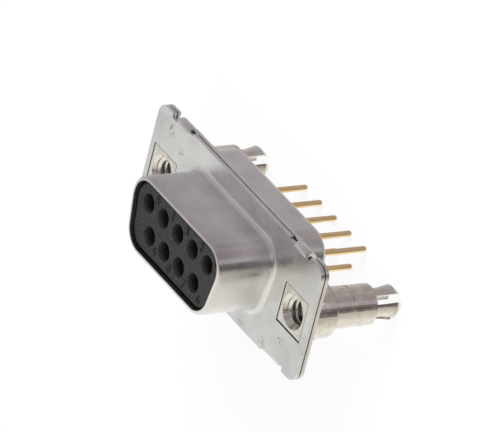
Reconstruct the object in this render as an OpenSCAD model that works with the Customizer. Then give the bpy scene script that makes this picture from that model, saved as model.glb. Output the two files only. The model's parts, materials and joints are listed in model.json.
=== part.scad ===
// Nine-way D-subminiature socket connector for a printed circuit board.
// +Z is the way a plug leaves, X runs along the long side, and +Y points to
// the wide side of the D. Z = 0 is the board, under the shoulders of the two
// board locks.

/* [Flanges] */
// How far the flanges run on past each screw hole's axis
flange_end = 2.91; // [2.6:0.01:4]
// How far the flanges stand out past the box at each long side
flange_side = 0.915; // [0.8:0.005:1.6]
// Corner radius of both flanges
flange_r = 1.2; // [0.6:0.1:2]
// Height of the front face of the flanges over the board
flange_z = 8.3; // [7.5:0.1:12]
// Radius that rounds the outer edges of both flanges
flange_edge_r = 0.1; // [0.05:0.01:0.2]
// Air left between the two flanges by the insulators
flange_gap = 0.1; // [0.04:0.01:0.3]

/* [Front shell] */
// Sheet thickness of the front shell
front_t = 0.42; // [0.3:0.01:0.5]
// Width of the shroud outside, along its wide side
shroud_w = 16.33; // [16:0.01:16.8]
// Height of the shroud outside
shroud_h = 7.9; // [7.6:0.01:8.3]
// Corner radius of the shroud outside
shroud_r = 2.6; // [2.2:0.1:3]
// Reach of the shroud in front of the flange
shroud_reach = 6.17; // [5.6:0.01:7]
// Bend radius where the shroud leaves the flange, on the outside
shroud_foot_r = 0.55; // [0.3:0.05:0.8]
// Radius that rounds the front rim
shroud_rim_r = 0.36; // [0.1:0.01:0.38]
// Slope of the two short sides of the D
side_angle = 10; // [6:1:14]

/* [Crimp tabs] */
// Width of each tab that folds round the rear flange
tab_w = 3; // [2:0.1:3.4]
// Distance of each tab's middle from the nearest screw hole's axis, inwards
tab_inset = 0.995; // [0.5:0.005:1.1]
// Width of the relief notch on each side of a tab, in the front flange
relief_w = 0.8; // [0.2:0.05:1]
// Depth of those relief notches
relief_depth = 0.25; // [0.1:0.05:0.4]
// Outer radius of a tab's first fold
tab_front_r = 0.55; // [0.44:0.01:0.6]
// Outer radius of a tab's second fold
tab_back_r = 0.84; // [0.6:0.01:0.86]
// Reach of a tab over the back of the rear flange
tab_reach = 1.8; // [1.5:0.1:2]
// Air between a tab's last fold and the notch for it in the rear flange
tab_play = 0.04; // [0.02:0.01:0.1]
// Air on each side of a tab in that notch
tab_side_play = 0.15; // [0.05:0.05:0.4]

/* [Rear shell] */
// Sheet thickness of the rear shell
rear_t = 0.4; // [0.3:0.01:0.5]
// How far the box stands out past the shroud at each short side
box_step_x = 1.475; // [1.3:0.005:1.8]
// How far the box stands out past the shroud at each long side
box_step_y = 1.41; // [1.2:0.01:1.8]
// Corner radius of the box outside
box_r = 3; // [2.6:0.1:3.4]
// Depth from the front face of the flanges to the back of the box
box_depth = 4.85; // [4.4:0.01:5.4]
// Bend radius where the box leaves the flange, on the outside
box_foot_r = 0.35; // [0.2:0.05:0.4]
// Outer radius of the box's back edge
box_edge_r = 0.75; // [0.6:0.05:0.9]
// Width of the lip round the opening in the back
box_lip = 1.5; // [1.1:0.1:1.8]

/* [Insulators] */
// Depth of the insulator's face behind the rim of the shroud
face_recess = 0.32; // [0.1:0.01:0.6]
// Air between the insulators and the shells
insulator_play = 0.06; // [0.03:0.01:0.12]
// Depth of the joint between the two insulators behind the flange's front face
joint_depth = 2.6; // [2:0.1:3.2]
// Chamfer on the edges of the insulators
insulator_chamfer = 0.3; // [0.1:0.05:0.35]
// How far the rear insulator stands out of the back of the box
rear_proud = 0.1; // [0:0.05:0.5]
// Diameter of a cavity's funnel at the face
funnel_d = 1.95; // [1.8:0.05:2.2]
// Depth of a cavity's funnel
funnel_depth = 0.85; // [0.3:0.05:0.9]
// Diameter of a cavity's entry
entry_d = 1.2; // [1.1:0.05:1.3]
// Depth of the wall in front of each contact
entry_wall = 1.1; // [0.95:0.05:1.4]

/* [Contacts] */
// Distance between contacts in a row
contact_pitch = 2.77; // [2.7:0.01:2.84]
// Distance between the two rows
row_pitch = 2.84; // [2.78:0.01:2.9]
// Outer diameter of the socket
socket_d = 1.65; // [1.55:0.01:1.8]
// Bore of the socket
socket_bore_d = 1.02; // [1:0.01:1.1]
// Depth of the socket's bore
socket_bore_depth = 4.6; // [4:0.1:5]
// Chamfer inside and outside the socket's mouth
socket_lead = 0.1; // [0.05:0.01:0.1]
// Width of the slit that parts the socket's tines
socket_slit = 0.28; // [0.2:0.01:0.35]
// Length of the slit
socket_slit_depth = 3.4; // [2.5:0.1:3.8]
// Air round the socket
socket_play = 0.08; // [0.05:0.01:0.12]
// Diameter of the collar that holds the contact
collar_d = 2.1; // [2:0.05:2.3]
// Thickness of that collar
collar_t = 0.8; // [0.5:0.1:1.2]
// Diameter of the shank in the rear insulator
shank_d = 1.1; // [0.9:0.05:1.4]
// Diameter of a solder tail
tail_d = 0.6; // [0.5:0.02:0.76]
// Reach of the tails below the board's top face
tail_reach = 3.7; // [2.5:0.1:4.5]
// Air round each contact's collar and shank
contact_play = 0.03; // [0.02:0.01:0.06]

/* [Standoffs] */
// Width of the square head, flush with the front flange
head_w = 4.04; // [3.8:0.01:4.2]
// Air round the square head
head_play = 0.07; // [0.04:0.01:0.12]
// Diameter of the clamping collar behind the flanges
clamp_d = 5.5; // [5:0.1:5.7]
// Air between each collar and the box beside it
clamp_gap = 0.105; // [0.05:0.005:0.4]
// Depth of the collar's end behind the flanges' front face
clamp_depth = 3.5; // [3:0.1:4]
// Diameter of the sleeve
sleeve_d = 4; // [3.8:0.1:4.4]
// Depth of the joint between standoff and board lock
sleeve_depth = 5.65; // [5:0.05:6]
// Major diameter of the screw thread
thread_d = 2.84; // [2.8:0.01:3]
// Diameter of the countersink at the mouth
sink_d = 3.5; // [3.3:0.1:3.6]
// Chamfer on the collar's end
clamp_chamfer = 0.3; // [0.1:0.01:0.5]
// Chamfer on both sides of the joint, which shows as a fine groove
joint_chamfer = 0.05; // [0.03:0.01:0.1]

/* [Board locks] */
// Diameter of the stem pressed into the standoff
stem_d = 2.4; // [2:0.1:2.6]
// Length of that stem, which closes the screw thread from behind
stem_len = 1.2; // [0.8:0.1:1.6]
// Chamfer on the stem's end
stem_chamfer = 0.15; // [0.05:0.01:0.2]
// Air round the stem
stem_play = 0.02; // [0.01:0.01:0.05]
// Diameter of the four prongs at their root
root_d = 2.95; // [2.8:0.01:3.1]
// Length of the straight part of the prongs
root_len = 1.15; // [1:0.05:1.6]
// Diameter over the barbs
barb_d = 3.38; // [3.2:0.01:3.5]
// Depth of the barbs' widest point under the board's top face
barb_depth = 2.4; // [2:0.1:2.8]
// Diameter at the tips
tip_d = 2.3; // [2.1:0.1:2.6]
// Reach of the prongs below the board's top face
lock_reach = 3.05; // [2.9:0.05:3.6]
// Diameter of the hole up the middle of the prongs
lock_bore_d = 1.95; // [1.8:0.05:2.05]
// Width of the two crossed slots
lock_slot = 0.85; // [0.7:0.05:0.9]

/* [Hidden] */
$fn = 64;

// A cut runs this far past the face that it opens
cut = 1;
// Facets in each bend of a drawn sheet, and in each corner of its outline
BEND_STEPS = 5;
CORNER_STEPS = 10;

// The box stands round the shroud, the screw holes stand clear of the box, and
// the flanges reach past both
box_w = shroud_w + 2 * box_step_x;
box_h = shroud_h + 2 * box_step_y;
hole_pitch = box_w + clamp_d + 2 * clamp_gap;
flange_w = hole_pitch + 2 * flange_end;
flange_h = box_h + 2 * flange_side;

// Levels, measured up from the board
front_back_z = flange_z - front_t;
rear_front_z = front_back_z - flange_gap;
rear_back_z = rear_front_z - rear_t;
rim_z = flange_z + shroud_reach;
face_z = rim_z - face_recess;
box_back_z = flange_z - box_depth;
box_floor_z = box_back_z + rear_t;
joint_z = flange_z - joint_depth;
sleeve_end_z = flange_z - sleeve_depth;
clamp_end_z = flange_z - clamp_depth;

// Contacts in the wide row and in the narrow row, numbered from +X to -X
WIDE_ROW = 5;
NARROW_ROW = 4;
CONTACTS = [1:WIDE_ROW + NARROW_ROW];
function contact_xy(n) = n <= WIDE_ROW
  ? [((WIDE_ROW + 1) / 2 - n) * contact_pitch, row_pitch / 2]
  : [(WIDE_ROW + (NARROW_ROW + 1) / 2 - n) * contact_pitch, -row_pitch / 2];

// Corner centres of a D, each with the angles between which its corner turns.
// All outlines that run parallel to the D share these centres.
function d_corners(w, h, r) =
  let (
    x_wide = w / 2 - r,
    y = h / 2 - r,
    x_narrow = x_wide - 2 * y * tan(side_angle)
  )
  [
    [x_wide, y, -side_angle, 90],
    [-x_wide, y, 90, 180 + side_angle],
    [-x_narrow, -y, 180 + side_angle, 270],
    [x_narrow, -y, 270, 360 - side_angle]
  ];
function box_corners(w, h, r) = [
  [w / 2 - r, h / 2 - r, 0, 90],
  [-w / 2 + r, h / 2 - r, 90, 180],
  [-w / 2 + r, -h / 2 + r, 180, 270],
  [w / 2 - r, -h / 2 + r, 270, 360]
];
SHROUD = d_corners(shroud_w, shroud_h, shroud_r);
BOX = d_corners(box_w, box_h, box_r);
FLANGE = box_corners(flange_w, flange_h, flange_r);
TAB_X = [for (side = [-1, 1]) side * (hole_pitch / 2 - tab_inset)];

// Places round an outline: a corner's centre with a direction outwards
function stations(corners) = [
  for (c = corners, i = [0:CORNER_STEPS])
    [c[0], c[1], c[2] + (c[3] - c[2]) * i / CORNER_STEPS]
];

// Point at a place, from its [distance outside the corner's centre, height]
function place(s, p) = [s[0] + p[0] * cos(s[2]), s[1] + p[0] * sin(s[2]), p[1]];
function round_outline(corners, p) = [for (s = stations(corners)) place(s, p)];

module plate(corners, r, z0, z1) {
  translate([0, 0, z0]) linear_extrude(z1 - z0)
    polygon([for (p = round_outline(corners, [r, 0])) [p[0], p[1]]]);
}

// Points on an arc, from angle a to angle b
function arc(at, r, a, b) =
  [for (i = [0:BEND_STEPS]) let (t = a + (b - a) * i / BEND_STEPS) at + r * [cos(t), sin(t)]];

// Closed solid between rings that go round the connector, each with as many
// points as the next. The last ring joins the first.
module rings(loops) {
  m = len(loops);
  n = len(loops[0]);
  polyhedron(
    points = [for (loop = loops) each loop],
    faces = [
      for (k = [0:m - 1], i = [0:n - 1]) let (l = (k + 1) % m, j = (i + 1) % n)
        each [[k * n + i, l * n + i, k * n + j], [k * n + j, l * n + i, l * n + j]]
    ]
  );
}

// One sheet, drawn from the flat flange into a wall round an outline. Both
// sections are lists of [distance outside the corner centres, height]: wall
// follows the outline, and edge follows the flange. Together they close a loop.
module drawn(corners, wall, edge) {
  rings(concat(
    [for (p = wall) round_outline(corners, p)],
    [for (p = edge) round_outline(FLANGE, p)]
  ));
}

module square_holes(z0, z1) {
  hole = head_w + 2 * head_play;
  for (s = [-1, 1]) translate([s * hole_pitch / 2 - hole / 2, -hole / 2, z0 - cut])
    cube([hole, hole, z1 - z0 + 2 * cut]);
}

// Notches in the two long edges at the crimp tabs
module tab_notches(w, depth) {
  for (x = TAB_X, flip = [0, 1]) mirror([0, flip, 0])
    translate([x - w / 2, flange_h / 2 - depth, rear_back_z - cut])
      cube([w, depth + cut, flange_z - rear_back_z + 2 * cut]);
}

// ---- Front shell: one drawn sheet, a flange with the D-shaped shroud ----

// Quarter of a bent sheet, from angle a to a + 90 about the bend's centre
module bend(at, outer, t, a) {
  translate(at) rotate(a) intersection() {
    difference() {
      circle(outer);
      circle(outer - t);
    }
    square(outer + cut);
  }
}

// A tab leaves the flange, rounds the edge of the rear flange and lies flat
// behind it. The section's X is across the connector and its Y is the height.
module tab_section() {
  edge = flange_h / 2;
  back = rear_back_z - front_t;
  bend([edge - tab_front_r, flange_z - tab_front_r], tab_front_r, front_t, 0);
  translate([edge - front_t, back + tab_back_r])
    square([front_t, flange_z - tab_front_r - back - tab_back_r]);
  bend([edge - tab_back_r, back + tab_back_r], tab_back_r, front_t, 270);
  translate([edge - tab_reach, back]) square([tab_reach - tab_back_r, front_t]);
}

module tabs() {
  for (x = TAB_X, flip = [0, 1]) mirror([0, flip, 0])
    translate([x - tab_w / 2, 0, 0]) rotate([90, 0, 90]) linear_extrude(tab_w) tab_section();
}

// Section of the shroud, up the outside to the rim and down the inside
function shroud_wall() =
  let (
    foot = [shroud_r + shroud_foot_r, flange_z + shroud_foot_r],
    rim = [shroud_r - shroud_rim_r, rim_z - shroud_rim_r]
  )
  concat(
    arc(foot, shroud_foot_r, 270, 180),
    arc(rim, shroud_rim_r, 0, 90),
    [[shroud_r - front_t, rim_z]],
    arc(foot, shroud_foot_r + front_t, 180, 270)
  );

module front_shell() {
  rolled = [flange_r - flange_edge_r, flange_z - flange_edge_r];
  color("silver") union() {
    difference() {
      drawn(SHROUD, shroud_wall(), concat([[flange_r, front_back_z]], arc(rolled, flange_edge_r, 0, 90)));
      square_holes(front_back_z, flange_z);
      tab_notches(tab_w + 2 * relief_w, relief_depth);
      tab_notches(tab_w, tab_front_r);
    }
    tabs();
  }
}

// ---- Rear shell: one drawn sheet, a flange with a shallow box behind it ----

// Section of the box, down the inside to the lip of the back and up the outside
function box_wall() =
  let (
    foot = [box_r + box_foot_r, rear_back_z - box_foot_r],
    back = [box_r - box_edge_r, box_back_z + box_edge_r],
    lip_r = box_r - box_lip
  )
  concat(
    arc(foot, box_foot_r + rear_t, 90, 180),
    arc(back, box_edge_r - rear_t, 0, -90),
    [[lip_r, box_floor_z], [lip_r, box_back_z]],
    arc(back, box_edge_r, -90, 0),
    arc(foot, box_foot_r, 180, 90)
  );

module rear_shell() {
  rolled = [flange_r - flange_edge_r, rear_back_z + flange_edge_r];
  color("silver") difference() {
    drawn(BOX, box_wall(), concat(arc(rolled, flange_edge_r, -90, 0), [[flange_r, rear_front_z]]));
    square_holes(rear_back_z, rear_front_z);
    tab_notches(tab_w + 2 * tab_side_play, tab_back_r + tab_play);
  }
}

// ---- Insulators: two mouldings that trap the contacts between them ----

// Block with its upper edge chamfered by e
module chamfered(corners, r, z0, z1, e) {
  section = [[r, z1 - e], [r + cut, z1 - e], [r + cut, z1 + cut], [r - e, z1 + cut], [r - e, z1]];
  difference() {
    plate(corners, r, z0, z1);
    rings([for (p = section) round_outline(corners, p)]);
  }
}

// Room for one contact, open to both sides of the front insulator
module cavity() {
  socket_r = socket_d / 2 + socket_play;
  pocket_r = collar_d / 2 + contact_play;
  rotate_extrude() polygon([
    [0, face_z + cut], [funnel_d / 2, face_z + cut], [funnel_d / 2, face_z],
    [entry_d / 2, face_z - funnel_depth], [entry_d / 2, face_z - entry_wall],
    [socket_r, face_z - entry_wall], [socket_r, joint_z + collar_t],
    [pocket_r, joint_z + collar_t], [pocket_r, joint_z - cut], [0, joint_z - cut]
  ]);
}

module front_insulator() {
  nose_r = shroud_r - front_t - insulator_play;
  body_r = box_r - rear_t - insulator_play;
  color("#2c2c2e") difference() {
    union() {
      chamfered(SHROUD, nose_r, joint_z, face_z, insulator_chamfer);
      plate(BOX, body_r, joint_z, front_back_z);
    }
    for (n = CONTACTS) translate(contact_xy(n)) cavity();
  }
}

module rear_insulator() {
  body_r = box_r - rear_t - insulator_play;
  boss_r = box_r - box_lip - insulator_play;
  bend_r = box_edge_r - rear_t;
  back_z = box_back_z - rear_proud;
  color("#2c2c2e") difference() {
    union() {
      plate(BOX, body_r, box_floor_z + bend_r, joint_z);
      plate(BOX, body_r - bend_r, box_floor_z, joint_z);
      plate(BOX, boss_r, back_z, joint_z);
    }
    for (n = CONTACTS) translate(contact_xy(n)) translate([0, 0, back_z - cut])
      cylinder(d = shank_d + 2 * contact_play, h = joint_z - back_z + 2 * cut);
  }
}

// ---- Contacts: turned in one piece, a slit socket with a round solder tail ----

module contact() {
  top = face_z - entry_wall - contact_play;
  bore_floor_z = top - socket_bore_depth;
  shoulder_z = joint_z + collar_t - contact_play;
  shank_end_z = box_back_z - rear_proud;
  tail_end_z = -tail_reach + tail_d / 2;
  color("goldenrod") difference() {
    union() {
      rotate_extrude() polygon([
        [0, bore_floor_z], [socket_bore_d / 2, bore_floor_z],
        [socket_bore_d / 2, top - socket_lead], [socket_bore_d / 2 + socket_lead, top],
        [socket_d / 2 - socket_lead, top], [socket_d / 2, top - socket_lead],
        [socket_d / 2, shoulder_z], [collar_d / 2, shoulder_z], [collar_d / 2, joint_z],
        [shank_d / 2, joint_z], [shank_d / 2, shank_end_z],
        [tail_d / 2, shank_end_z], [tail_d / 2, tail_end_z], [0, tail_end_z]
      ]);
      translate([0, 0, tail_end_z]) sphere(d = tail_d);
    }
    translate([-socket_d, -socket_slit / 2, top - socket_slit_depth])
      cube([2 * socket_d, socket_slit, socket_slit_depth + cut]);
  }
}

// ---- Standoffs: turned, square at the head, threaded for a jackscrew ----

module standoff() {
  sink = (sink_d - thread_d) / 2;
  color("gainsboro") difference() {
    union() {
      translate([-head_w / 2, -head_w / 2, rear_back_z]) cube([head_w, head_w, flange_z - rear_back_z]);
      rotate_extrude() polygon([
        [0, rear_back_z], [clamp_d / 2, rear_back_z],
        [clamp_d / 2, clamp_end_z + clamp_chamfer], [clamp_d / 2 - clamp_chamfer, clamp_end_z],
        [sleeve_d / 2, clamp_end_z], [sleeve_d / 2, sleeve_end_z + joint_chamfer],
        [sleeve_d / 2 - joint_chamfer, sleeve_end_z], [0, sleeve_end_z]
      ]);
    }
    translate([0, 0, sleeve_end_z - cut]) cylinder(d = stem_d + 2 * stem_play, h = stem_len + 2 * cut);
    translate([0, 0, sleeve_end_z + stem_len]) cylinder(d = thread_d, h = sleeve_depth - stem_len + cut);
    translate([0, 0, flange_z - sink]) cylinder(d1 = thread_d, d2 = sink_d, h = sink);
  }
}

// ---- Board locks: turned, then cut crosswise into four springy prongs ----

module board_lock() {
  stem_end_z = sleeve_end_z + stem_len - stem_play;
  color("gainsboro") difference() {
    rotate_extrude() polygon([
      [0, stem_end_z],
      [stem_d / 2 - stem_chamfer, stem_end_z],
      [stem_d / 2, stem_end_z - stem_chamfer],
      [stem_d / 2, sleeve_end_z], [sleeve_d / 2 - joint_chamfer, sleeve_end_z],
      [sleeve_d / 2, sleeve_end_z - joint_chamfer],
      [sleeve_d / 2, joint_chamfer], [sleeve_d / 2 - joint_chamfer, 0],
      [root_d / 2, 0], [root_d / 2, -root_len], [barb_d / 2, -barb_depth],
      [tip_d / 2, -lock_reach], [0, -lock_reach]
    ]);
    translate([0, 0, -lock_reach - cut]) cylinder(d = lock_bore_d, h = lock_reach + cut);
    for (a = [45, 135]) rotate(a) translate([-sleeve_d, -lock_slot / 2, -lock_reach - cut])
      cube([2 * sleeve_d, lock_slot, lock_reach + cut]);
  }
}

module at_screw(side) {
  translate([side * hole_pitch / 2, 0, 0]) children();
}

front_shell();
rear_shell();
front_insulator();
rear_insulator();
for (n = CONTACTS) translate(contact_xy(n)) contact();
at_screw(-1) standoff();  // standoff_left
at_screw(1) standoff();  // standoff_right
at_screw(-1) board_lock();  // board_lock_left
at_screw(1) board_lock();  // board_lock_right
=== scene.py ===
# Nine-way D-subminiature socket connector for a printed circuit board. The
# script dresses it piece by piece, in the order in which it is put together.
import json
import math

import bpy
from mathutils import Euler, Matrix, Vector


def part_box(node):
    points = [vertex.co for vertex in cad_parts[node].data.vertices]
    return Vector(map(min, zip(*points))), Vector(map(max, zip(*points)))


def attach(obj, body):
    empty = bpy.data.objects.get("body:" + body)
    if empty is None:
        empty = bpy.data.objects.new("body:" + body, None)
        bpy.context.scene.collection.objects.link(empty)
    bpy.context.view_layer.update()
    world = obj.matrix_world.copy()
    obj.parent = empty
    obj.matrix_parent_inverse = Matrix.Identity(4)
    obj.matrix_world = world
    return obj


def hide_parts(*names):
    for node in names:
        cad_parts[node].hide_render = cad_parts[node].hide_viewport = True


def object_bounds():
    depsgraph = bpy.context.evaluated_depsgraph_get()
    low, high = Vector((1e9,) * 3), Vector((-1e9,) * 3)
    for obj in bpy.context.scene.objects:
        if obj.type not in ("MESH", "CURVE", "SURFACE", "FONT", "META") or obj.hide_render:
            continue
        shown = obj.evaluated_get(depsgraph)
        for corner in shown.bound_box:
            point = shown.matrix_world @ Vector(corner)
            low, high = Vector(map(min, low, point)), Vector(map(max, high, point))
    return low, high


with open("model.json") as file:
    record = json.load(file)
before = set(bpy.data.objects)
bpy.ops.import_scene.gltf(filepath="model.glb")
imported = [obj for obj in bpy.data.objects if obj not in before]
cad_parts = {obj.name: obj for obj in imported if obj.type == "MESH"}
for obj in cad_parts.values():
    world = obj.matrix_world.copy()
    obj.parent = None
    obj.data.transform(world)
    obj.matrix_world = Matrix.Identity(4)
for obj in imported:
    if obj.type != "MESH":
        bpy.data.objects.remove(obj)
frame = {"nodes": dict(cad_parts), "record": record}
cad_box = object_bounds()
bpy.ops.object.select_all(action="DESELECT")

MM = 0.001


# ---- Studio ----
# A white floor, a large soft lamp overhead and a weaker one at the side. The
# camera stands a metre away behind a long lens, which hardly draws lines together.
def add_node(tree, kind, inputs=None, **settings):
    """Adds a node with its settings, and links or fills its sockets."""
    made = tree.nodes.new(kind)
    for name, value in settings.items():
        setattr(made, name, value)
    for socket, value in (inputs or {}).items():
        if isinstance(value, bpy.types.NodeSocket):
            tree.links.new(value, made.inputs[socket])
        else:
            made.inputs[socket].default_value = value
    return made


def linear(hex_colour):
    """Linear RGBA of an sRGB hex colour."""
    parts = [int(hex_colour[i : i + 2], 16) / 255 for i in (1, 3, 5)]
    return [c / 12.92 if c <= 0.04045 else ((c + 0.055) / 1.055) ** 2.4 for c in parts] + [1.0]


camera_data = bpy.data.cameras.new("camera")
camera_data.lens = 774.25
camera_data.clip_start = 0.1
camera_data.clip_end = 10
camera = bpy.data.objects.new("camera", camera_data)
camera.location = Vector((692.854, 483.914, 542.894)) * MM
camera.rotation_euler = Euler([math.radians(a) for a in (-8.880, 57.118, 24.244)], "XYZ")
bpy.context.scene.collection.objects.link(camera)
bpy.context.scene.camera = camera
bpy.context.scene.view_settings.view_transform = "Standard"

# The world is white to the camera and in reflections, and dimmer as a lamp
world = bpy.data.worlds.new("studio")
world.use_nodes = True
bpy.context.scene.world = world
sky = world.node_tree
sky.nodes.clear()
path = add_node(sky, "ShaderNodeLightPath")
seen = add_node(sky, "ShaderNodeMath",
                {0: path.outputs["Is Camera Ray"], 1: path.outputs["Is Glossy Ray"]}, operation="MAXIMUM")
seen = add_node(sky, "ShaderNodeMath", {0: seen.outputs[0], 1: path.outputs["Is Transmission Ray"]},
                operation="MAXIMUM")
room = add_node(sky, "ShaderNodeBackground", {"Color": linear("#D8DADC"), "Strength": 0.5})
white = add_node(sky, "ShaderNodeBackground", {"Color": linear("#FFFFFF"), "Strength": 1.0})
both = add_node(sky, "ShaderNodeMixShader", {0: seen.outputs[0], 1: room.outputs[0], 2: white.outputs[0]})
add_node(sky, "ShaderNodeOutputWorld", {"Surface": both.outputs[0]})

# A paper tent stands round the table: only the metal sees it. It is white on
# one side and grey on the other, with a dark gap beside the camera.
bpy.ops.mesh.primitive_uv_sphere_add(segments=64, ring_count=32, radius=0.5)
tent = bpy.context.object
tent.name = "tent"
tent.visible_camera = False
tent.visible_diffuse = False
tent.visible_shadow = False
tent.visible_transmission = False
cloth = bpy.data.materials.new("tent_paper")
cloth.use_nodes = True
tree = cloth.node_tree
tree.nodes.clear()
where = add_node(tree, "ShaderNodeTexCoord")
axes = add_node(tree, "ShaderNodeSeparateXYZ", {0: where.outputs["Object"]})
turn_round = add_node(tree, "ShaderNodeMath", {0: axes.outputs["Y"], 1: axes.outputs["X"]},
                      operation="ARCTAN2")
share = add_node(tree, "ShaderNodeMapRange", {0: turn_round.outputs[0], 1: -math.pi, 2: math.pi})
ramp = add_node(tree, "ShaderNodeValToRGB", {0: share.outputs[0]})
# Paper and gaps of the tent, by the angle round it from +X, in degrees
PAPER = [
    (-180, "#CBCBC6"), (-150, "#DDDEDA"), (-138, "#E6E7E2"), (-120, "#FFFFFC"), (-80, "#FAF6EE"),
    (-55, "#FBF7EC"), (-27, "#DDD7CB"), (-4, "#CBC4B9"), (3, "#6E6763"), (10, "#605A57"),
    (20, "#6A6462"), (28, "#867F7F"), (37, "#A59C9D"), (42, "#FFFAFF"), (47, "#A59C9D"),
    (70, "#A39A9A"), (88, "#A59C9B"), (101, "#B8AFAE"), (115, "#A19998"), (130, "#B4ACAD"),
    (146, "#B4ADAE"), (158, "#C2BBBB"), (180, "#CDCDC9"),
]
while len(ramp.color_ramp.elements) < len(PAPER):
    ramp.color_ramp.elements.new(0.5)
for element, (angle, colour) in zip(ramp.color_ramp.elements, PAPER):
    element.position = (angle + 180) / 360
    element.color = linear(colour)
shine = add_node(tree, "ShaderNodeEmission", {"Color": ramp.outputs[0], "Strength": 1.0})
add_node(tree, "ShaderNodeOutputMaterial", {"Surface": shine.outputs[0]})
tent.data.materials.append(cloth)

# Lamps, all pointed at the flange's front: place, width and height in metres, watts
aim = Vector((0, 0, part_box("front_shell")[1].z))
LAMPS = {
    "overhead": ((0.05, 0.30, 0.18), (0.30, 0.20), 2.2),
    "side": ((0.25, 0.02, 0.25), (0.12, 0.20), 0.8),
}
for name, (place, size, watts) in LAMPS.items():
    lamp_data = bpy.data.lights.new(name, "AREA")
    lamp_data.shape = "RECTANGLE"
    lamp_data.size, lamp_data.size_y = size
    lamp_data.energy = watts
    lamp = bpy.data.objects.new(name, lamp_data)
    lamp.location = place
    lamp.rotation_euler = (aim - Vector(place)).to_track_quat("-Z", "Y").to_euler()
    lamp.visible_glossy = False
    bpy.context.scene.collection.objects.link(lamp)

# The floor lies under the tips of the solder tails
floor_gap = 0.05
floor_z = cad_box[0].z - floor_gap * MM
bpy.ops.mesh.primitive_plane_add(size=1.5, location=(0, 0, floor_z))
floor = bpy.context.object
floor.name = "floor"
paper = bpy.data.materials.new("white_floor")
paper.use_nodes = True
tree = paper.node_tree
tree.nodes.clear()
path = add_node(tree, "ShaderNodeLightPath")
floor_glow = 0.88
share = add_node(tree, "ShaderNodeMath", {0: path.outputs["Is Camera Ray"], 1: floor_glow},
                 operation="MULTIPLY")
matt = add_node(tree, "ShaderNodeBsdfDiffuse", {"Color": linear("#EEEEEE")})
glow = add_node(tree, "ShaderNodeEmission", {"Color": linear("#FFFFFF"), "Strength": 1.0})
mixed = add_node(tree, "ShaderNodeMixShader",
                 {0: share.outputs[0], 1: matt.outputs[0], 2: glow.outputs[0]})
under = add_node(tree, "ShaderNodeNewGeometry")
through = add_node(tree, "ShaderNodeMath",
                   {0: path.outputs["Is Glossy Ray"], 1: under.outputs["Backfacing"]}, operation="MAXIMUM")
clear = add_node(tree, "ShaderNodeBsdfTransparent")
whole = add_node(tree, "ShaderNodeMixShader",
                 {0: through.outputs[0], 1: mixed.outputs[0], 2: clear.outputs[0]})
add_node(tree, "ShaderNodeOutputMaterial", {"Surface": whole.outputs[0]})
floor.data.materials.append(paper)


# ---- Front shell ----
# One piece of thin tinned steel, drawn in a press: the flange, and the D-shaped
# shroud that a plug's shell slides over. Four tabs on its long edges are folded
# round the rear shell's flange and hold the whole connector together.
# Sizes in mm. hole_reach runs from a screw's axis to the two sides of its square hole.
sheet = 0.42
shroud_size = Vector((16.33, 7.9))
shroud_corner = 2.6
shroud_lean = math.radians(10)
foot_round = 0.55
rim_round = 0.36
flange_corner = 1.2
hole_reach = (-2.23, 2.05)
edge_round = 0.04
tab_width = 3.0
tab_reach = 1.8
tab_from_screw = 0.995
tab_fold = 0.55
relief_width = 0.8
relief_depth = 0.25
corner_steps, flange_steps, foot_steps, bend_steps, edge_steps = 12, 8, 5, 6, 2
same_place = 0.004
flat_turn = math.radians(0.5)
sharp_turn = math.radians(50)
smooth_turn = math.radians(38)
merge_gap = 0.001

mounts = {mount["name"]: Vector(mount["pos_m"]) / MM for mount in frame["record"]["mounts"]}
flange_z = mounts["panel_face"].z
rim_z = mounts["plug_shroud"].z
screw_x = mounts["jackscrew_right"].x
flange_size = (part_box("front_shell")[1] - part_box("front_shell")[0]) / MM
tab_back_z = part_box("front_shell")[0].z / MM
tab_back_fold = flange_z - tab_back_z - tab_fold


def start(name, add, **settings):
    """Adds the primitive that a piece starts from, at the origin, and opens it to be shaped."""
    bpy.ops.object.select_all(action="DESELECT")
    add(**settings)
    piece = bpy.context.object
    piece.name = name
    bpy.ops.object.mode_set(mode="EDIT")
    return piece


def pick(kind, test):
    """Selects the vertices, edges or faces that pass a test of their middle, in mm, and normal."""
    bpy.ops.mesh.select_mode(type=kind)
    bpy.ops.mesh.select_all(action="DESELECT")
    bpy.ops.object.mode_set(mode="OBJECT")
    mesh = bpy.context.object.data
    for part in {"VERT": mesh.vertices, "EDGE": mesh.edges, "FACE": mesh.polygons}[kind]:
        ends = [part] if kind == "VERT" else [mesh.vertices[i] for i in part.vertices]
        middle = sum((end.co for end in ends), Vector()) / len(ends) / MM
        normal = part.normal if kind == "FACE" else sum((end.normal for end in ends), Vector()) / len(ends)
        part.select = bool(test(middle, normal))
    bpy.ops.object.mode_set(mode="EDIT")


def move(*way):
    bpy.ops.transform.translate(value=Vector(way) * MM)


def draw_out(*way):
    """Extrudes what is selected, which leaves its far end selected."""
    bpy.ops.mesh.extrude_region_move(TRANSFORM_OT_translate={"value": Vector(way) * MM})


def round_off(radius, steps, affect="EDGES"):
    bpy.ops.mesh.bevel(offset=radius * MM, segments=steps, affect=affect, clamp_overlap=False,
                       loop_slide=False)


def cut_along(axis, places, test):
    """Cuts the faces that pass the test along flat planes, so that cells can be taken out."""
    for place in places:
        pick("FACE", test)
        bpy.ops.mesh.bisect(plane_co=axis * place * MM, plane_no=axis)


def at(value, wanted):
    return abs(value - wanted) < same_place


def finish_piece(piece, *modifiers):
    """Closes edit mode and applies modifiers, each given as its kind and its settings."""
    bpy.ops.object.mode_set(mode="OBJECT")
    for kind, settings in modifiers:
        made = piece.modifiers.new(kind, kind)
        for name, value in settings.items():
            setattr(made, name, value)
        bpy.ops.object.modifier_apply(modifier=made.name)


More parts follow.
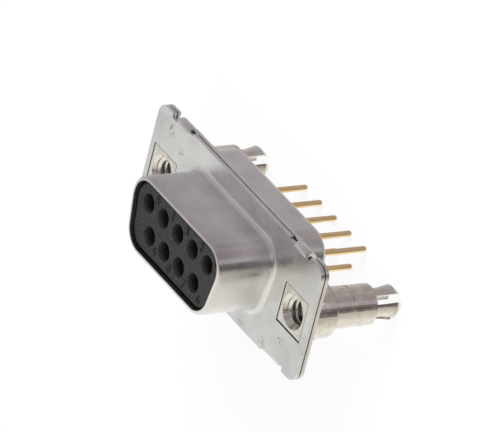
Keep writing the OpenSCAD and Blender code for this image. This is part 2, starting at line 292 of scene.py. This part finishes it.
def smooth(piece):
    """Smooth shading that keeps flat faces flat."""
    bpy.ops.object.mode_set(mode="OBJECT")
    bpy.ops.object.shade_smooth_by_angle(angle=smooth_turn)
    finish_piece(piece, ("WEIGHTED_NORMAL", {"keep_sharp": True}))


quarter = math.pi / 2


def start_d(name, size, corner, level):
    """A D-shaped plate at a level: a sharp D first, then its four corners rounded by one radius.

    Its half width before rounding comes back too."""
    middle = size / 2 - Vector((corner, corner))
    wide_run = corner * math.tan((quarter + shroud_lean) / 2)
    narrow_run = corner * math.tan((quarter - shroud_lean) / 2)
    wide_half = middle.x + wide_run
    narrow_half = middle.x - 2 * middle.y * math.tan(shroud_lean) + narrow_run
    plate = start(name, bpy.ops.mesh.primitive_plane_add, size=MM)
    bpy.ops.transform.resize(value=(2 * wide_half, size.y, 1))
    pick("VERT", lambda p, n: p.y < 0)
    bpy.ops.transform.resize(value=(narrow_half / wide_half, 1, 1))
    pick("VERT", lambda p, n: p.y > 0)
    round_off(wide_run, corner_steps, "VERTICES")
    pick("VERT", lambda p, n: at(p.y, -size.y / 2))
    round_off(narrow_run, corner_steps, "VERTICES")
    bpy.ops.mesh.select_all(action="SELECT")
    move(0, 0, level)
    return plate, wide_half


front, wide_half = start_d("front_shell_piece", shroud_size, shroud_corner, flange_z)
bpy.ops.mesh.delete(type="ONLY_FACE")
bpy.ops.mesh.select_all(action="SELECT")
draw_out(0, 0, rim_z - flange_z)


def join_flange(level, wall_y, wall_x, radius):
    """Lays the flange round the foot of a drawn wall, joins them, and rounds the bend."""
    bpy.ops.mesh.primitive_plane_add(size=MM)
    bpy.ops.transform.resize(value=(flange_size.x, flange_size.y, 1))
    move(0, 0, level)
    round_off(flange_corner, flange_steps, "VERTICES")
    pick("FACE", lambda p, n: at(p.z, level))
    bpy.ops.mesh.delete(type="ONLY_FACE")
    pick("EDGE", lambda p, n: at(p.z, level))
    bpy.ops.mesh.bridge_edge_loops()
    bpy.ops.mesh.select_all(action="SELECT")
    bpy.ops.mesh.normals_make_consistent(inside=False)
    slack = 0.01
    pick("EDGE", lambda p, n: at(p.z, level) and abs(n.z) < 0.99
         and abs(p.y) < wall_y + slack and abs(p.x) < wall_x + slack)
    round_off(radius, foot_steps)


join_flange(flange_z, shroud_size.y / 2, wide_half, foot_round)

# Square holes for the screw heads, and notches beside each tab
across, along = Vector((1, 0, 0)), Vector((0, 1, 0))
half = flange_size / 2
tab_x = screw_x - tab_from_screw
tab_edges = [tab_x + tab_width / 2, tab_x - tab_width / 2, tab_x - tab_width / 2 - relief_width]


def on_flange(p, n):
    return at(p.z, flange_z)


def on_hole(p, n):
    from_screw = p.x - math.copysign(screw_x, p.x)
    return all(hole_reach[0] < distance < hole_reach[1] for distance in (from_screw, p.y))


def by_tab(p, reach, inward=0.0):
    return -reach - inward < abs(p.x) - tab_x < reach


hole_edges = [side * screw_x + reach for side in (-1, 1) for reach in hole_reach]
cut_along(across, hole_edges + [side * x for side in (-1, 1) for x in tab_edges], on_flange)
notch_bottoms = [side * (half.y - depth) for side in (-1, 1) for depth in (relief_depth, tab_fold)]
cut_along(along, [*hole_reach] + notch_bottoms, on_flange)
pick("FACE", lambda p, n: on_flange(p, n) and (
    on_hole(p, n) or abs(p.y) > half.y - tab_fold and by_tab(p, tab_width / 2)
    or abs(p.y) > half.y - relief_depth and by_tab(p, tab_width / 2, relief_width)))
bpy.ops.mesh.delete(type="FACE")
bpy.ops.mesh.select_all(action="SELECT")
bpy.ops.mesh.dissolve_limited(angle_limit=flat_turn)

# The tabs, folded down over the edge of the rear flange and in behind it
for side in (-1, 1):
    pick("EDGE", lambda p, n: on_flange(p, n) and at(p.y, side * (half.y - tab_fold))
         and by_tab(p, tab_width / 2))
    bpy.ops.mesh.spin(steps=bend_steps, angle=side * quarter, axis=across,
                      center=Vector((0, side * (half.y - tab_fold), flange_z - tab_fold)) * MM)
    bpy.ops.mesh.spin(steps=bend_steps, angle=side * quarter, axis=across,
                      center=Vector((0, side * (half.y - tab_back_fold), tab_back_z + tab_back_fold)) * MM)
    draw_out(0, side * (tab_back_fold - tab_reach), 0)
bpy.ops.mesh.select_all(action="SELECT")
bpy.ops.mesh.remove_doubles(threshold=merge_gap * MM)
bpy.ops.mesh.normals_make_consistent(inside=False)

# The sheet's thickness, the rolled rim, and every sheared edge eased
finish_piece(front, ("SOLIDIFY", {"thickness": sheet * MM, "offset": -1, "use_even_offset": True}))
bpy.ops.object.mode_set(mode="EDIT")
facing_out = 0.25
pick("EDGE", lambda p, n: at(p.z, rim_z) and n.xy.dot(p.xy.normalized()) > facing_out)
round_off(rim_round, bend_steps)
bpy.ops.mesh.select_all(action="DESELECT")
bpy.ops.mesh.edges_select_sharp(sharpness=sharp_turn)
round_off(edge_round, edge_steps)
smooth(front)


# Thin tin over steel: a soft mirror, with the fine grain of the plating, faint
# lines where the punch drew the sheet along Z, and a few darker mottled spots
def new_finish(name, **values):
    """A material, its node tree, its shader with plain values set, and the piece's coordinates."""
    finish = bpy.data.materials.new(name)
    finish.use_nodes = True
    shader = finish.node_tree.nodes["Principled BSDF"]
    for socket, value in values.items():
        shader.inputs[socket].default_value = value
    place = add_node(finish.node_tree, "ShaderNodeTexCoord").outputs["Object"]
    return finish, finish.node_tree, shader, place


# Sizes of the patterns in mm, and each darker spot's x, y and size
GRAIN, CLOUD, DRAWN_LINE, SPOT_MOTTLE = 0.12, 3.0, 0.25, 0.35
DARK_SPOTS = [(-12.6, 4.7, 0.9), (9.1, -5.5, 0.7), (11.8, -3.7, 0.8), (5.1, -5.5, 0.6), (-10.2, 3.4, 0.7)]
shell_tin, tree, shader, place = new_finish("drawn_tinned_steel", Metallic=1.0)
grain = add_node(tree, "ShaderNodeTexNoise", {"Vector": place, "Scale": 1 / (GRAIN * MM), "Detail": 3.0})
cloud = add_node(tree, "ShaderNodeTexNoise", {"Vector": place, "Scale": 1 / (CLOUD * MM), "Detail": 4.0})
stretched = add_node(tree, "ShaderNodeMapping", {"Vector": place, "Scale": (1.0, 1.0, 0.06)})
lines = add_node(tree, "ShaderNodeTexNoise",
                 {"Vector": stretched.outputs[0], "Scale": 1 / (DRAWN_LINE * MM), "Detail": 2.0})
spots = 0.0
for x, y, size in DARK_SPOTS:
    gap = add_node(tree, "ShaderNodeVectorMath", {0: place, 1: Vector((x, y, flange_z)) * MM},
                   operation="DISTANCE")
    near = add_node(tree, "ShaderNodeMapRange",
                    {0: gap.outputs["Value"], 1: size * MM, 2: 0.2 * size * MM})
    spots = add_node(tree, "ShaderNodeMath",
                     {0: spots, 1: near.outputs[0]}, operation="MAXIMUM").outputs[0]
mottle = add_node(tree, "ShaderNodeTexNoise", {"Vector": place, "Scale": 1 / (SPOT_MOTTLE * MM), "Detail": 3.0})
mottle = add_node(tree, "ShaderNodeMapRange", {0: mottle.outputs[0], 1: 0.48, 2: 0.62})
dark_spot_mask = add_node(tree, "ShaderNodeMath", {0: spots, 1: mottle.outputs[0]}, operation="MULTIPLY")
tone = add_node(tree, "ShaderNodeValToRGB", {0: cloud.outputs[0]})
tone.color_ramp.elements[0].position, tone.color_ramp.elements[1].position = 0.3, 0.7
tone.color_ramp.elements[0].color = linear("#D6D6D7")
tone.color_ramp.elements[1].color = linear("#ECECED")
spotted_tone = add_node(tree, "ShaderNodeMix", {0: dark_spot_mask.outputs[0], 6: tone.outputs[0], 7: linear("#A3A19A")},
                data_type="RGBA")
# Painted shade: the upper side of the nose is darkened towards the rim
axes = add_node(tree, "ShaderNodeSeparateXYZ", {0: place}).outputs
nose = add_node(tree, "ShaderNodeMapRange",
                {0: axes["Z"], 1: (flange_z + 2.5) * MM, 2: (flange_z + 6.0) * MM, 4: 0.7})
upper = add_node(tree, "ShaderNodeMapRange", {0: axes["Y"], 1: 2.0 * MM, 2: 4.0 * MM})
nose_painted_shade = add_node(tree, "ShaderNodeMath", {0: nose.outputs[0], 1: upper.outputs[0]}, operation="MULTIPLY")
skin = add_node(tree, "ShaderNodeMix", {0: nose_painted_shade.outputs[0], 6: spotted_tone.outputs[2], 7: linear("#DDD8DA")},
                data_type="RGBA", blend_type="MULTIPLY")
tree.links.new(skin.outputs[2], shader.inputs["Base Color"])
rough = add_node(tree, "ShaderNodeMapRange", {0: cloud.outputs[0], 1: 0.3, 2: 0.7, 3: 0.15, 4: 0.32})
tree.links.new(rough.outputs[0], shader.inputs["Roughness"])
relief = add_node(tree, "ShaderNodeMath", {0: lines.outputs[0], 1: 0.6}, operation="MULTIPLY")
relief = add_node(tree, "ShaderNodeMath", {0: relief.outputs[0], 1: grain.outputs[0]}, operation="ADD")
waves = add_node(tree, "ShaderNodeMath", {0: cloud.outputs[0], 1: 4.0}, operation="MULTIPLY")
relief = add_node(tree, "ShaderNodeMath", {0: relief.outputs[0], 1: waves.outputs[0]}, operation="ADD")
bumps = add_node(tree, "ShaderNodeBump",
                 {"Height": relief.outputs[0], "Strength": 0.6, "Distance": 0.03 * MM})
tree.links.new(bumps.outputs[0], shader.inputs["Normal"])


def fit(piece, finish, slot_name, *replaced):
    """Gives a finished piece its material, and its place among the connector's nodes."""
    piece.data.materials.clear()
    piece.data.materials.append(finish)
    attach(piece, "root")
    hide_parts(*replaced)


fit(front, shell_tin, "shell_tin", "front_shell")


# ---- Rear shell ----
# The second drawn sheet: a flange like the first, with a shallow D-shaped box
# behind it that holds the insulators. Its back is open but for a lip.
rear_sheet = 0.4
box_size = Vector((19.28, 10.72))
box_corner = 3.0
box_back_round = 0.75
box_foot_round = 0.35
box_lip = 1.5
notch_width = 3.06
notch_depth = 0.88

box_back_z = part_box("rear_shell")[0].z / MM
rear_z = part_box("rear_shell")[1].z / MM - rear_sheet


def on_rear(p, n):
    return at(p.z, rear_z)


rear, wide_half = start_d("rear_shell_piece", box_size, box_corner, rear_z)
draw_out(0, 0, box_back_z - rear_z)
pick("EDGE", lambda p, n: at(p.z, box_back_z))
round_off(box_back_round, bend_steps)
pick("FACE", lambda p, n: at(p.z, box_back_z) or on_rear(p, n))
bpy.ops.mesh.inset(thickness=(box_lip - box_back_round) * MM)
pick("FACE", lambda p, n: on_rear(p, n) or at(p.z, box_back_z) and abs(p.x) < 1 and abs(p.y) < 1)
bpy.ops.mesh.delete(type="FACE")
join_flange(rear_z, box_size.y / 2, wide_half, box_foot_round)
notch_edges = [side * tab_x + end * notch_width / 2 for side in (-1, 1) for end in (-1, 1)]
cut_along(across, hole_edges + notch_edges, on_rear)
cut_along(along, [*hole_reach, half.y - notch_depth, notch_depth - half.y], on_rear)
pick("FACE", lambda p, n: on_rear(p, n) and (
    on_hole(p, n) or abs(p.y) > half.y - notch_depth and by_tab(p, notch_width / 2)))
bpy.ops.mesh.delete(type="FACE")
bpy.ops.mesh.select_all(action="SELECT")
bpy.ops.mesh.dissolve_limited(angle_limit=flat_turn)
bpy.ops.mesh.normals_make_consistent(inside=False)
bpy.ops.mesh.flip_normals()
finish_piece(rear, ("SOLIDIFY", {"thickness": rear_sheet * MM, "offset": -1, "use_even_offset": True}))
bpy.ops.object.mode_set(mode="EDIT")
bpy.ops.mesh.select_all(action="DESELECT")
bpy.ops.mesh.edges_select_sharp(sharpness=sharp_turn)
round_off(edge_round, edge_steps)
smooth(rear)
fit(rear, shell_tin, "shell_tin", "rear_shell")


# ---- Insulators ----
# Two mouldings in black glass-filled polyester trap the contacts between them.
# The front one carries a funnel for each pin and a small raised number beside it.
moulded_round = 0.05
solid_merge_gap = 0.0005
moulded_turn = math.radians(40)


def from_solid(name, node):
    """A copy of a node's solid, merged, with its flat faces whole and its sharp edges selected for easing.
    """
    piece = frame["nodes"][node].copy()
    piece.data = piece.data.copy()
    piece.name = name
    bpy.context.scene.collection.objects.link(piece)
    piece.hide_render = piece.hide_viewport = False
    bpy.ops.object.select_all(action="DESELECT")
    piece.select_set(True)
    bpy.context.view_layer.objects.active = piece
    bpy.ops.object.mode_set(mode="EDIT")
    bpy.ops.mesh.select_all(action="SELECT")
    bpy.ops.mesh.remove_doubles(threshold=solid_merge_gap * MM)
    bpy.ops.mesh.dissolve_limited(angle_limit=flat_turn)
    bpy.ops.mesh.select_all(action="DESELECT")
    bpy.ops.mesh.edges_select_sharp(sharpness=moulded_turn)
    return piece


# Moulded black plastic: matt, with the faint speckle of glass fibres at the
# face, and painted shade down the funnels, where little light comes back out
FIBRE = 0.16
plastic, tree, shader, place = new_finish("glass_filled_polyester", IOR=1.45)
fibres = add_node(tree, "ShaderNodeTexNoise", {"Vector": place, "Scale": 1 / (FIBRE * MM), "Detail": 4.0})
shade = add_node(tree, "ShaderNodeValToRGB", {0: fibres.outputs[0]})
shade.color_ramp.elements[0].position, shade.color_ramp.elements[1].position = 0.4, 0.72
shade.color_ramp.elements[0].color = linear("#151515")
shade.color_ramp.elements[1].color = linear("#292929")
face_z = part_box("front_insulator")[1].z / MM
# Painted shade: the colour goes to near black from the face to 0.5 mm below it, and stays so further down
depth = add_node(tree, "ShaderNodeSeparateXYZ", {0: place})
inside = add_node(tree, "ShaderNodeMapRange",
                  {0: depth.outputs["Z"], 1: (face_z - 0.01) * MM, 2: (face_z - 0.5) * MM})
funnel_painted_shade = add_node(tree, "ShaderNodeMix", {0: inside.outputs[0], 6: shade.outputs[0], 7: linear("#030303")},
                data_type="RGBA")
tree.links.new(funnel_painted_shade.outputs[2], shader.inputs["Base Color"])
dull = add_node(tree, "ShaderNodeMapRange", {0: fibres.outputs[0], 1: 0.3, 2: 0.7, 3: 0.62, 4: 0.42})
tree.links.new(dull.outputs[0], shader.inputs["Roughness"])
texture = add_node(tree, "ShaderNodeBump",
                   {"Height": fibres.outputs[0], "Strength": 0.25, "Distance": 0.03 * MM})
tree.links.new(texture.outputs[0], shader.inputs["Normal"])

face = from_solid("front_insulator_piece", "front_insulator")
round_off(moulded_round, edge_steps)
smooth(face)
back = from_solid("rear_insulator_piece", "rear_insulator")
round_off(moulded_round, edge_steps)
smooth(back)

# Raised numbers: beside and outside each funnel, clear of its mouth. A digit is
# shorter than its letter size by letter_share.
NUMBER_HEIGHT = 0.95
NUMBER_RELIEF = 0.09
letter_share = 1.4
beside, outside = 1.3, 1.02
numbers = []
for n in range(1, 10):
    hole = mounts[f"tail_{n}"]
    outward = 1 if hole.y > 0 else -1
    bpy.ops.object.text_add(location=(0, 0, 0))
    number = bpy.context.object
    number.data.body = str(n)
    number.data.align_x, number.data.align_y = "CENTER", "CENTER"
    number.data.size = NUMBER_HEIGHT * MM * letter_share
    number.data.extrude = NUMBER_RELIEF * MM
    number.location = Vector((hole.x + beside, hole.y + outward * outside, face_z)) * MM
    bpy.ops.object.convert(target="MESH")
    bpy.ops.object.mode_set(mode="EDIT")
    bpy.ops.mesh.select_all(action="SELECT")
    bpy.ops.mesh.remove_doubles(threshold=merge_gap * MM)
    bpy.ops.object.mode_set(mode="OBJECT")
    numbers.append(number)
bpy.ops.object.select_all(action="DESELECT")
for number in numbers:
    number.select_set(True)
face.select_set(True)
bpy.context.view_layer.objects.active = face
bpy.ops.object.transform_apply(location=True, rotation=True, scale=True)
bpy.ops.object.join()
fit(face, plastic, "insulator_black", "front_insulator")
fit(back, plastic, "insulator_black", "rear_insulator")


# ---- Contacts ----
# Nine sockets turned from brass and plated with pale gold, each slit into two
# tines at its mouth and ending in a round solder tail. One is made and copied.
tail_r = 0.3
shank_r = 0.55
collar_r = 1.05
collar_height = 0.77
socket_r = 0.825
bore_r = 0.51
bore_depth = 4.6
mouth_ease = 0.1
slit_width, slit_depth = 0.28, 3.4
joint_depth = 2.6
contact_ease = 0.02

tip_z, socket_z = (corner.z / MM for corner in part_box("contact_1"))
shank_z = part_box("rear_insulator")[0].z / MM
joint_z = flange_z - joint_depth


def turn(name, steps, rings):
    """A piece drawn up from a round plate through rings of (radius, height), as on a lathe."""
    radius, height = rings[0]
    piece = start(name, bpy.ops.mesh.primitive_circle_add, vertices=steps, radius=radius * MM,
                  fill_type="NGON")
    move(0, 0, height)
    for next_radius, next_height in rings[1:]:
        draw_out(0, 0, next_height - height)
        wider = next_radius / radius
        bpy.ops.transform.resize(value=(wider, wider, 1))
        radius, height = next_radius, next_height
    bpy.ops.object.mode_set(mode="OBJECT")
    return piece


def block(size, centre, turned=0.0):
    """A cutter: a block of a size in mm, round a centre, turned about Z in radians."""
    bpy.ops.object.select_all(action="DESELECT")
    bpy.ops.mesh.primitive_cube_add(size=MM, location=Vector(centre) * MM, rotation=(0, 0, turned),
                                    scale=size)
    return bpy.context.object


def combine(piece, operation, tool):
    """Joins a tool's shape to a piece, or cuts it out of it, and throws the tool away."""
    bpy.context.view_layer.objects.active = piece
    finish_piece(piece, ("BOOLEAN", {"operation": operation, "object": tool, "solver": "EXACT"}))
    bpy.data.objects.remove(tool)


def ease_edges(piece, width):
    finish_piece(piece, ("BEVEL", {"width": width * MM, "segments": edge_steps, "limit_method": "ANGLE",
                                   "angle_limit": sharp_turn}))


def place_copies(piece, places):
    """Moves a finished piece to its first place, and a copy with its own mesh to each other one."""
    copies = []
    for node, spot in places.items():
        copy = piece.copy()
        copy.data = piece.data.copy()
        copy.name = node + "_piece"
        copy.location = Vector((spot.x, spot.y, 0)) * MM
        bpy.context.scene.collection.objects.link(copy)
        bpy.ops.object.select_all(action="DESELECT")
        copy.select_set(True)
        bpy.context.view_layer.objects.active = copy
        bpy.ops.object.transform_apply(location=True, rotation=False, scale=False)
        copies.append((copy, node))
    bpy.data.objects.remove(piece)
    return copies


# Pale gold over brass, with the fine rings of the lathe
WEAR = 0.2
gold, tree, shader, place = new_finish("gold_plated_brass", Metallic=1.0, Roughness=0.3)
drawn = add_node(tree, "ShaderNodeMapping", {"Vector": place, "Scale": (1.0, 1.0, 0.1)})
wear = add_node(tree, "ShaderNodeTexNoise",
                {"Vector": drawn.outputs[0], "Scale": 1 / (WEAR * MM), "Detail": 3.0})
tint = add_node(tree, "ShaderNodeValToRGB", {0: wear.outputs[0]})
tint.color_ramp.elements[0].position, tint.color_ramp.elements[1].position = 0.35, 0.65
tint.color_ramp.elements[0].color = linear("#FADAA0")
tint.color_ramp.elements[1].color = linear("#FFEBC0")
tree.links.new(tint.outputs[0], shader.inputs["Base Color"])
ridges = add_node(tree, "ShaderNodeBump",
                  {"Height": wear.outputs[0], "Strength": 0.15, "Distance": 0.02 * MM})
tree.links.new(ridges.outputs[0], shader.inputs["Normal"])

tip_turns = [math.radians(a) for a in (20, 45, 70, 90)]
tip = [(tail_r * math.sin(a), tip_z + tail_r * (1 - math.cos(a))) for a in tip_turns]
socket = turn("contact", 32, tip + [
    (tail_r, shank_z), (shank_r, shank_z), (shank_r, joint_z), (collar_r, joint_z),
    (collar_r, joint_z + collar_height), (socket_r, joint_z + collar_height),
    (socket_r, socket_z - mouth_ease), (socket_r - mouth_ease, socket_z),
    (bore_r + mouth_ease, socket_z), (bore_r, socket_z - mouth_ease), (bore_r, socket_z - bore_depth)])
combine(socket, "DIFFERENCE", block((3 * socket_r, slit_width, 2 * slit_depth), (0, 0, socket_z)))
ease_edges(socket, contact_ease)
smooth(socket)
for contact, node in place_copies(socket, {f"contact_{n}": mounts[f"tail_{n}"] for n in range(1, 10)}):
    fit(contact, gold, "contact_gold", node)


# ---- Standoffs ----
# Two bright-tinned brass parts, turned and then milled square at the head, which
# keeps them from turning in the flanges. A jackscrew goes into their thread.
head_side = 4.04
clamp_r, clamp_depth, clamp_ease = 2.75, 3.5, 0.3
sleeve_r = 2.0
groove = 0.09
thread_major, thread_minor, thread_pitch = 1.42, 1.12, 0.635
sink_r = 1.75
stem_r, stem_length = 1.2, 1.2
stem_play = 0.02
turned_ease = 0.03

sleeve_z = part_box("standoff_right")[0].z / MM
clamp_z = flange_z - clamp_depth

# Bright tin over turned brass: glossier than the shells, with fine tool rings
# across the axis, drawn a little coarser than real so that they show
RING, PATCH = 0.12, 0.8
bright_tin, tree, shader, place = new_finish("turned_tinned_brass", Metallic=1.0)
height = add_node(tree, "ShaderNodeSeparateXYZ", {0: place})
rings_along = add_node(tree, "ShaderNodeMath", {0: height.outputs["Z"], 1: 1 / (RING * MM)},
                       operation="MULTIPLY")
tool_marks = add_node(tree, "ShaderNodeTexNoise",
                      {"W": rings_along.outputs[0], "Scale": 1.0, "Detail": 2.0},
                      noise_dimensions="1D")
cloud = add_node(tree, "ShaderNodeTexNoise", {"Vector": place, "Scale": 1 / (PATCH * MM), "Detail": 4.0})
patches = add_node(tree, "ShaderNodeValToRGB", {0: cloud.outputs[0]})
patches.color_ramp.elements[0].position, patches.color_ramp.elements[1].position = 0.35, 0.7
patches.color_ramp.elements[0].color = linear("#DCD8D2")
patches.color_ramp.elements[1].color = linear("#F1EFEA")
tree.links.new(patches.outputs[0], shader.inputs["Base Color"])
rough = add_node(tree, "ShaderNodeMapRange", {0: cloud.outputs[0], 1: 0.3, 2: 0.7, 3: 0.12, 4: 0.26})
tree.links.new(rough.outputs[0], shader.inputs["Roughness"])
marks = add_node(tree, "ShaderNodeBump",
                 {"Height": tool_marks.outputs[0], "Strength": 0.3, "Distance": 0.02 * MM})
tree.links.new(marks.outputs[0], shader.inputs["Normal"])

standoff = turn("standoff", 64, [
    (sleeve_r - groove, sleeve_z), (sleeve_r, sleeve_z + groove), (sleeve_r, clamp_z),
    (clamp_r - clamp_ease, clamp_z), (clamp_r, clamp_z + clamp_ease), (clamp_r, rear_z)])
head_depth = flange_z - rear_z
combine(standoff, "UNION", block((head_side, head_side, 2 * head_depth), (0, 0, rear_z)))
combine(standoff, "DIFFERENCE", turn("drill", 48, [
    (stem_r + stem_play, sleeve_z - 1), (stem_r + stem_play, sleeve_z + stem_length),
    (thread_major, sleeve_z + stem_length), (thread_major, flange_z + 1)]))

# The thread's crests: a three-sided wire wound up the bore, and cut off by the
# countersink at the mouth
wound = math.ceil((flange_z - sleeve_z - stem_length) / thread_pitch)
crest = start("thread", bpy.ops.mesh.primitive_circle_add, vertices=3, radius=MM, fill_type="NGON")
bpy.ops.object.mode_set(mode="OBJECT")
half_crest = 0.42 * thread_pitch
sunk_in = 0.1
wire = [(thread_minor, 0), (thread_major + sunk_in, half_crest), (thread_major + sunk_in, -half_crest)]
for vertex, (reach, rise) in zip(crest.data.vertices, wire):
    vertex.co = Vector((reach, 0, sleeve_z + stem_length + thread_pitch / 2 + rise)) * MM
finish_piece(crest, ("SCREW", {"angle": 2 * math.pi, "screw_offset": thread_pitch * MM, "iterations": wound,
                               "steps": 48, "render_steps": 48, "use_merge_vertices": True}))
bpy.ops.object.mode_set(mode="EDIT")
bpy.ops.mesh.select_all(action="SELECT")
bpy.ops.mesh.fill_holes(sides=3)
bpy.ops.mesh.normals_make_consistent(inside=False)
bpy.ops.object.mode_set(mode="OBJECT")
combine(standoff, "UNION", crest)
point_r, over = 0.9, 0.05
combine(standoff, "DIFFERENCE", turn("countersink", 48, [
    (point_r, flange_z - sink_r + point_r), (sink_r + over, flange_z + over),
    (sink_r + over, flange_z + 3)]))
ease_edges(standoff, turned_ease)
smooth(standoff)
screws = {"left": mounts["jackscrew_left"], "right": mounts["jackscrew_right"]}
for piece, node in place_copies(standoff, {f"standoff_{side}": spot for side, spot in screws.items()}):
    fit(piece, bright_tin, "hardware_tin", node)


# ---- Board locks ----
# Turned from the same brass and pressed into the standoffs from below. Two saw
# cuts leave four springy prongs, which snap into a hole in the board.
lock_tip_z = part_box("board_lock_right")[0].z / MM
root_r, root_depth = 1.475, 1.15
barb_r, barb_depth = 1.69, 2.4
lock_tip_r = 1.15
lock_bore_r = 0.975
saw_width = 0.85
stem_ease = 0.15

lock = turn("board_lock", 64, [
    (lock_tip_r, lock_tip_z), (barb_r, -barb_depth), (root_r, -root_depth), (root_r, 0),
    (sleeve_r - groove, 0), (sleeve_r, groove),
    (sleeve_r, sleeve_z - groove), (sleeve_r - groove, sleeve_z),
    (stem_r, sleeve_z), (stem_r, sleeve_z + stem_length - stem_play - stem_ease),
    (stem_r - stem_ease, sleeve_z + stem_length - stem_play)])
combine(lock, "DIFFERENCE", turn("drill", 48, [(lock_bore_r, lock_tip_z - 1), (lock_bore_r, 0)]))
for turned in (45, 135):
    saw = block((4 * barb_r, saw_width, -2 * lock_tip_z), (0, 0, lock_tip_z), math.radians(turned))
    combine(lock, "DIFFERENCE", saw)
ease_edges(lock, turned_ease)
smooth(lock)
for piece, node in place_copies(lock, {f"board_lock_{side}": spot for side, spot in screws.items()}):
    fit(piece, bright_tin, "hardware_tin", node)
